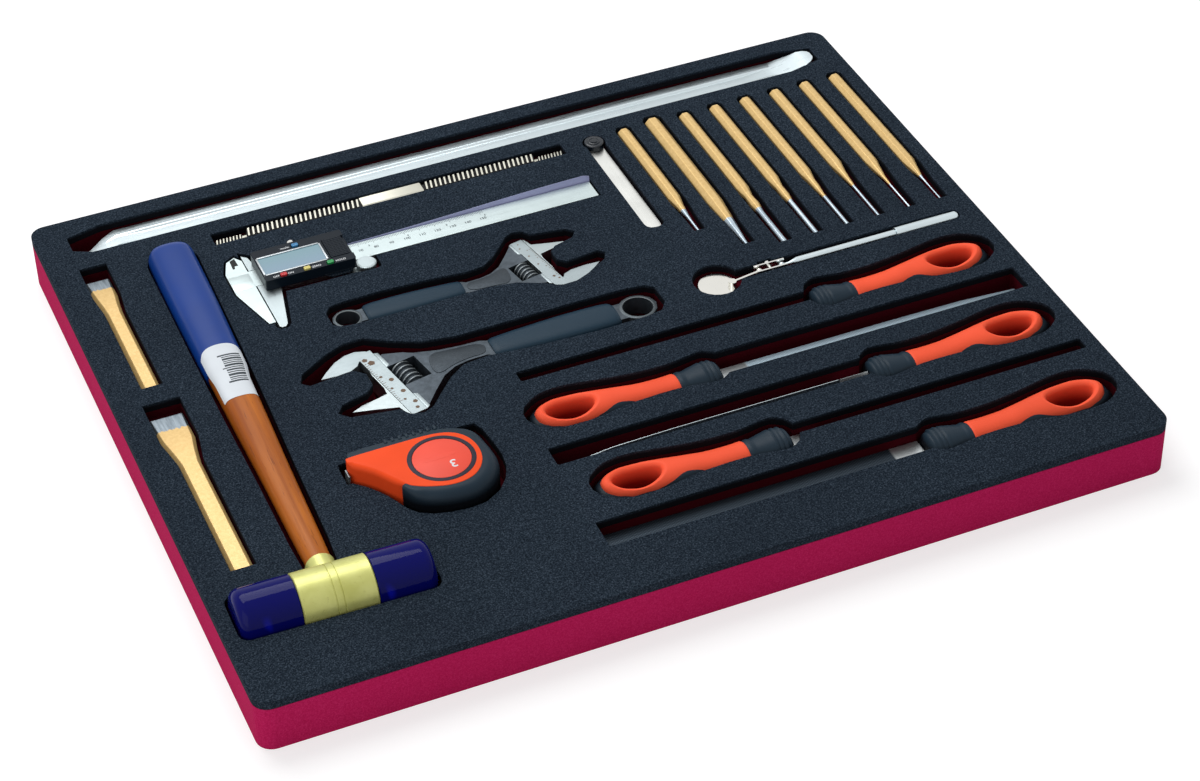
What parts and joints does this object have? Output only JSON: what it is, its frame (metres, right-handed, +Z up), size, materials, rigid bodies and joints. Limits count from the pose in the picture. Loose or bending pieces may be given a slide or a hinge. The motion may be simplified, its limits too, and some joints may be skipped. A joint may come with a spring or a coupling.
{
  "type": "foam tool inlay with hand tools",
  "caption": "Two-colour foam drawer inlay with form-cut pockets holding files, wrenches, punches, chisels, a mallet, a caliper, a tape, a mirror and a pry bar.",
  "frame": {"origin": "middle of the foam slab's underside", "axes": "+X along the slab's long side to the right, +Y to its back edge, +Z up out of the pockets"},
  "size_m": [0.543, 0.451, 0.0499],
  "materials": {
    "black_foam": "closed-cell foam, matt",
    "crimson_foam": "closed-cell foam, matt",
    "polished_steel": "satin to bright steel",
    "dark_steel": "dark phosphated steel",
    "gold_paint": "satin gold lacquer",
    "brass_paint": "satin brass-green lacquer",
    "blue_plastic": "gloss",
    "wood": "varnished",
    "orange_plastic": "satin",
    "black_rubber": "matt",
    "black_plastic": "matt",
    "display_glass": "gloss window",
    "red_plastic": "satin",
    "yellow_plastic": "satin",
    "green_plastic": "satin",
    "light_blue_plastic": "satin",
    "mirror_glass": "mirror"
  },
  "bodies": {
    "foam": {"foam_base": "crimson_foam", "foam_top": "black_foam"},
    "pry_bar": {"pry_bar": "polished_steel"},
    "thread_file": {"thread_file": "polished_steel"},
    "caliper": {"caliper_beam": "polished_steel"},
    "small_wrench": {"small_wrench_body": "dark_steel", "small_wrench_grip": "black_rubber"},
    "large_wrench": {"large_wrench_body": "dark_steel", "large_wrench_grip": "black_rubber"},
    "tape": {"tape_case": "orange_plastic", "tape_bumper": "black_rubber", "tape_medallion": "orange_plastic"},
    "mallet": {"mallet_handle": "wood", "mallet_grip": "blue_plastic", "mallet_head": "brass_paint", "mallet_face_left": "blue_plastic", "mallet_face_right": "blue_plastic"},
    "small_chisel": {"small_chisel": "gold_paint"},
    "large_chisel": {"large_chisel": "gold_paint"},
    "feeler": {"feeler_hub": "black_plastic"},
    "centre_punch": {"centre_punch": "gold_paint"},
    "drift_punch": {"drift_punch": "gold_paint"},
    "pin_punch_1": {"pin_punch_1": "gold_paint"},
    "pin_punch_2": {"pin_punch_2": "gold_paint"},
    "pin_punch_3": {"pin_punch_3": "gold_paint"},
    "pin_punch_4": {"pin_punch_4": "gold_paint"},
    "pin_punch_5": {"pin_punch_5": "gold_paint"},
    "pin_punch_6": {"pin_punch_6": "gold_paint"},
    "mirror": {"mirror_handle": "polished_steel"},
    "round_file": {"round_file_handle": "orange_plastic", "round_file_blade": "dark_steel"},
    "half_round_file": {"half_round_file_handle": "orange_plastic", "half_round_file_blade": "dark_steel"},
    "three_square_file": {"three_square_file_handle": "orange_plastic", "three_square_file_blade": "dark_steel"},
    "square_file": {"square_file_handle": "orange_plastic", "square_file_blade": "dark_steel"},
    "flat_file": {"flat_file_handle": "orange_plastic", "flat_file_blade": "dark_steel"},
    "caliper_slider": {"caliper_slider": "polished_steel", "caliper_housing": "black_plastic", "caliper_display": "display_glass"},
    "caliper_thumb_wheel": {"caliper_thumb_wheel": "polished_steel"},
    "caliper_lock_screw": {"caliper_lock_screw": "polished_steel"},
    "caliper_battery_cover": {"caliper_battery_cover": "black_plastic"},
    "caliper_power_button": {"caliper_power_button": "red_plastic"},
    "caliper_zero_button": {"caliper_zero_button": "yellow_plastic"},
    "caliper_hold_button": {"caliper_hold_button": "green_plastic"},
    "caliper_unit_button": {"caliper_unit_button": "light_blue_plastic"},
    "small_wrench_jaw": {"small_wrench_jaw": "polished_steel"},
    "small_wrench_worm": {"small_wrench_worm": "dark_steel"},
    "large_wrench_jaw": {"large_wrench_jaw": "polished_steel"},
    "large_wrench_worm": {"large_wrench_worm": "dark_steel"},
    "tape_blade": {"tape_blade": "polished_steel"},
    "tape_lock_button": {"tape_lock_button": "black_plastic"},
    "feeler_leaves": {"feeler_leaves": "polished_steel"},
    "mirror_tube": {"mirror_tube": "polished_steel"},
    "mirror_link": {"mirror_link": "polished_steel"},
    "mirror_head": {"mirror_head": "mirror_glass"}
  },
  "joints": [
    {"name": "pry_bar_lift", "type": "slide", "parent": "foam", "child": "pry_bar", "axis": [0, 0, 1], "range_m": [0, 0.08]},
    {"name": "thread_file_lift", "type": "slide", "parent": "foam", "child": "thread_file", "axis": [0, 0, 1], "range_m": [0, 0.08]},
    {"name": "caliper_lift", "type": "slide", "parent": "foam", "child": "caliper", "axis": [0, 0, 1], "range_m": [0, 0.08]},
    {"name": "small_wrench_lift", "type": "slide", "parent": "foam", "child": "small_wrench", "axis": [0, 0, 1], "range_m": [0, 0.08]},
    {"name": "large_wrench_lift", "type": "slide", "parent": "foam", "child": "large_wrench", "axis": [0, 0, 1], "range_m": [0, 0.08]},
    {"name": "tape_lift", "type": "slide", "parent": "foam", "child": "tape", "axis": [0, 0, 1], "range_m": [0, 0.08]},
    {"name": "mallet_lift", "type": "slide", "parent": "foam", "child": "mallet", "axis": [0, 0, 1], "range_m": [0, 0.08]},
    {"name": "small_chisel_lift", "type": "slide", "parent": "foam", "child": "small_chisel", "axis": [0, 0, 1], "range_m": [0, 0.08]},
    {"name": "large_chisel_lift", "type": "slide", "parent": "foam", "child": "large_chisel", "axis": [0, 0, 1], "range_m": [0, 0.08]},
    {"name": "feeler_lift", "type": "slide", "parent": "foam", "child": "feeler", "axis": [0, 0, 1], "range_m": [0, 0.08]},
    {"name": "centre_punch_lift", "type": "slide", "parent": "foam", "child": "centre_punch", "axis": [0, 0, 1], "range_m": [0, 0.08]},
    {"name": "drift_punch_lift", "type": "slide", "parent": "foam", "child": "drift_punch", "axis": [0, 0, 1], "range_m": [0, 0.08]},
    {"name": "pin_punch_1_lift", "type": "slide", "parent": "foam", "child": "pin_punch_1", "axis": [0, 0, 1], "range_m": [0, 0.08]},
    {"name": "pin_punch_2_lift", "type": "slide", "parent": "foam", "child": "pin_punch_2", "axis": [0, 0, 1], "range_m": [0, 0.08]},
    {"name": "pin_punch_3_lift", "type": "slide", "parent": "foam", "child": "pin_punch_3", "axis": [0, 0, 1], "range_m": [0, 0.08]},
    {"name": "pin_punch_4_lift", "type": "slide", "parent": "foam", "child": "pin_punch_4", "axis": [0, 0, 1], "range_m": [0, 0.08]},
    {"name": "pin_punch_5_lift", "type": "slide", "parent": "foam", "child": "pin_punch_5", "axis": [0, 0, 1], "range_m": [0, 0.08]},
    {"name": "pin_punch_6_lift", "type": "slide", "parent": "foam", "child": "pin_punch_6", "axis": [0, 0, 1], "range_m": [0, 0.08]},
    {"name": "mirror_lift", "type": "slide", "parent": "foam", "child": "mirror", "axis": [0, 0, 1], "range_m": [0, 0.08]},
    {"name": "round_file_lift", "type": "slide", "parent": "foam", "child": "round_file", "axis": [0, 0, 1], "range_m": [0, 0.08]},
    {"name": "half_round_file_lift", "type": "slide", "parent": "foam", "child": "half_round_file", "axis": [0, 0, 1], "range_m": [0, 0.08]},
    {"name": "three_square_file_lift", "type": "slide", "parent": "foam", "child": "three_square_file", "axis": [0, 0, 1], "range_m": [0, 0.08]},
    {"name": "square_file_lift", "type": "slide", "parent": "foam", "child": "square_file", "axis": [0, 0, 1], "range_m": [0, 0.08]},
    {"name": "flat_file_lift", "type": "slide", "parent": "foam", "child": "flat_file", "axis": [0, 0, 1], "range_m": [0, 0.08]},
    {"name": "caliper_slide", "type": "slide", "parent": "caliper", "child": "caliper_slider", "axis": [1, 0, 0], "range_m": [0, 0.001]},
    {"name": "caliper_thumb_wheel_turn", "type": "hinge", "parent": "caliper_slider", "child": "caliper_thumb_wheel", "pos_m": [-0.092, 0.1069, 0.0337], "axis": [0, 0, 1], "range_deg": [-1, 10]},
    {"name": "caliper_lock_turn", "type": "hinge", "parent": "caliper_slider", "child": "caliper_lock_screw", "pos_m": [-0.1286, 0.1396, 0.037], "axis": [0, 1, 0], "range_deg": [-360, 0]},
    {"name": "caliper_cover_slide", "type": "slide", "parent": "caliper_slider", "child": "caliper_battery_cover", "axis": [1, 0, 0], "range_m": [0, 0.012]},
    {"name": "caliper_power_press", "type": "slide", "parent": "caliper_slider", "child": "caliper_power_button", "axis": [0, 0, -1], "range_m": [0, 0.0008], "stiffness_N_per_m": 700, "springref_m": -0.0004},
    {"name": "caliper_zero_press", "type": "slide", "parent": "caliper_slider", "child": "caliper_zero_button", "axis": [0, 0, -1], "range_m": [0, 0.0008], "stiffness_N_per_m": 700, "springref_m": -0.0004},
    {"name": "caliper_hold_press", "type": "slide", "parent": "caliper_slider", "child": "caliper_hold_button", "axis": [0, 0, -1], "range_m": [0, 0.0008], "stiffness_N_per_m": 700, "springref_m": -0.0004},
    {"name": "caliper_unit_press", "type": "slide", "parent": "caliper_slider", "child": "caliper_unit_button", "axis": [0, 0, -1], "range_m": [0, 0.0008], "stiffness_N_per_m": 700, "springref_m": -0.0004},
    {"name": "small_wrench_jaw_slide", "type": "slide", "parent": "small_wrench", "child": "small_wrench_jaw", "axis": [0.1878, -0.9822, 0], "range_m": [-0.001, 0.0012]},
    {"name": "small_wrench_worm_turn", "type": "hinge", "parent": "small_wrench", "child": "small_wrench_worm", "pos_m": [-0.00445, 0.0642, 0.026], "axis": [0.1878, -0.9822, 0], "range_deg": [-104, 124]},
    {"name": "large_wrench_jaw_slide", "type": "slide", "parent": "large_wrench", "child": "large_wrench_jaw", "axis": [-0.1878, 0.9822, 0], "range_m": [-0.0012, 0.0015]},
    {"name": "large_wrench_worm_turn", "type": "hinge", "parent": "large_wrench", "child": "large_wrench_worm", "pos_m": [-0.10397, 0.0036, 0.024], "axis": [-0.1878, 0.9822, 0], "range_deg": [-99, 122]},
    {"name": "tape_blade_slide", "type": "slide", "parent": "tape", "child": "tape_blade", "axis": [-1, 0, 0], "range_m": [0, 0.0008]},
    {"name": "tape_lock_slide", "type": "slide", "parent": "tape", "child": "tape_lock_button", "axis": [1, 0, 0], "range_m": [0, 0.006]},
    {"name": "feeler_fan", "type": "hinge", "parent": "feeler", "child": "feeler_leaves", "pos_m": [0.0836, 0.1666, 0.0295], "axis": [0, 0, 1], "range_deg": [-0.4, 0.4]},
    {"name": "mirror_telescope", "type": "slide", "parent": "mirror", "child": "mirror_tube", "axis": [-1, 0, 0], "range_m": [0, 0.002]},
    {"name": "mirror_link_tilt", "type": "hinge", "parent": "mirror_tube", "child": "mirror_link", "pos_m": [0.1371, 0.0024, 0.0323], "axis": [0, 1, 0], "range_deg": [0, 80]},
    {"name": "mirror_head_tilt", "type": "hinge", "parent": "mirror_link", "child": "mirror_head", "pos_m": [0.1221, 0.0024, 0.0323], "axis": [0, 1, 0], "range_deg": [0, 80]}
  ],
  "couplings": [
    {"joint": "caliper_thumb_wheel_turn", "follows": "caliper_slide", "rad_per_m": 166.67},
    {"joint": "small_wrench_worm_turn", "follows": "small_wrench_jaw_slide", "rad_per_m": 1719.1},
    {"joint": "large_wrench_worm_turn", "follows": "large_wrench_jaw_slide", "rad_per_m": 1346.7}
  ]
}
